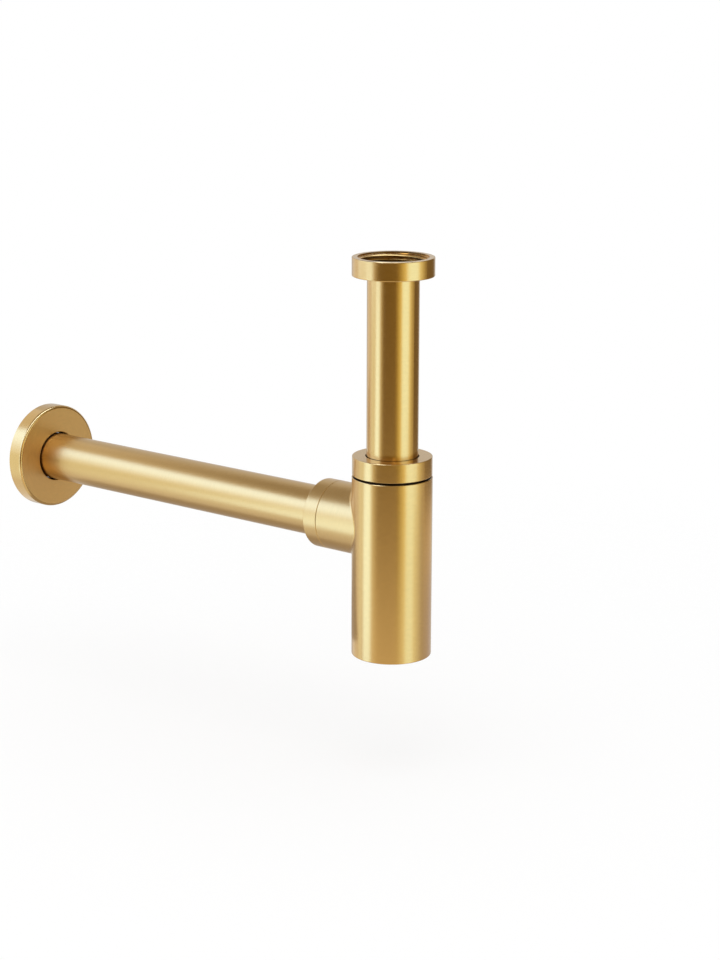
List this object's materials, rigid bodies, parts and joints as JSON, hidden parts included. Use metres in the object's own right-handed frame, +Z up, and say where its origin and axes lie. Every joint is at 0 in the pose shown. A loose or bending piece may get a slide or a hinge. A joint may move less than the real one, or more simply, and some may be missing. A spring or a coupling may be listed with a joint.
{
  "type": "bottle trap",
  "caption": "Bottle trap for a washbasin in satin gold brass: coupling nut, upright dip tube, round bottle, and a level tube to a wall rosette.",
  "frame": {"origin": "centre of the sealing plane inside the inlet nut: the top face of the inlet washer, on the upright axis", "axes": "+Z up along the upright tube, out of the inlet nut's mouth; -X along the outlet tube towards the wall; +X into the room; +Y across"},
  "size_m": [0.3452, 0.071, 0.2502],
  "materials": {
    "satin_gold": "finely brushed round the axis, satin gold coating",
    "black_rubber": "matt",
    "white_plastic": "matt"
  },
  "bodies": {
    "inlet_nut": {"inlet_nut": "satin_gold"},
    "inlet_tube": {"inlet_tube": "satin_gold", "inlet_washer": "black_rubber"},
    "bottle": {"trap_body": "satin_gold", "inlet_seal": "black_rubber", "outlet_seal": "black_rubber"},
    "inlet_slip_ring": {"inlet_slip_ring": "white_plastic"},
    "inlet_collar": {"inlet_collar": "satin_gold"},
    "outlet_slip_ring": {"outlet_slip_ring": "white_plastic"},
    "outlet_nut": {"outlet_nut": "satin_gold"},
    "wall_tube": {"wall_tube": "satin_gold"},
    "rosette": {"wall_rosette": "satin_gold", "rosette_ring": "black_rubber"}
  },
  "joints": [
    {"name": "inlet_swivel", "type": "hinge", "parent": "inlet_nut", "child": "inlet_tube", "pos_m": [0, 0, 0], "axis": [0, 0, 1], "continuous": true},
    {"name": "height_slide", "type": "slide", "parent": "inlet_tube", "child": "bottle", "axis": [0, 0, 1], "range_m": [-0.045, 0.01]},
    {"name": "collar_lift", "type": "slide", "parent": "bottle", "child": "inlet_slip_ring", "axis": [0, 0, 1], "range_m": [0, 0.006]},
    {"name": "collar_turn", "type": "hinge", "parent": "inlet_slip_ring", "child": "inlet_collar", "pos_m": [0, 0, -0.1195], "axis": [0, 0, 1], "range_deg": [0, 1440]},
    {"name": "outlet_nut_lift", "type": "slide", "parent": "bottle", "child": "outlet_slip_ring", "axis": [-1, 0, 0], "range_m": [0, 0.006]},
    {"name": "outlet_nut_turn", "type": "hinge", "parent": "outlet_slip_ring", "child": "outlet_nut", "pos_m": [-0.05165, 0, -0.1617], "axis": [-1, 0, 0], "range_deg": [0, 1440]},
    {"name": "reach_slide", "type": "slide", "parent": "bottle", "child": "wall_tube", "axis": [-1, 0, 0], "range_m": [-0.0025, 0.009]},
    {"name": "rosette_slide", "type": "slide", "parent": "wall_tube", "child": "rosette", "axis": [1, 0, 0], "range_m": [-0.01, 0.225]}
  ],
  "couplings": [
    {"joint": "collar_lift", "follows": "collar_turn", "m_per_rad": 0.0002387},
    {"joint": "outlet_nut_lift", "follows": "outlet_nut_turn", "m_per_rad": 0.0002387}
  ]
}
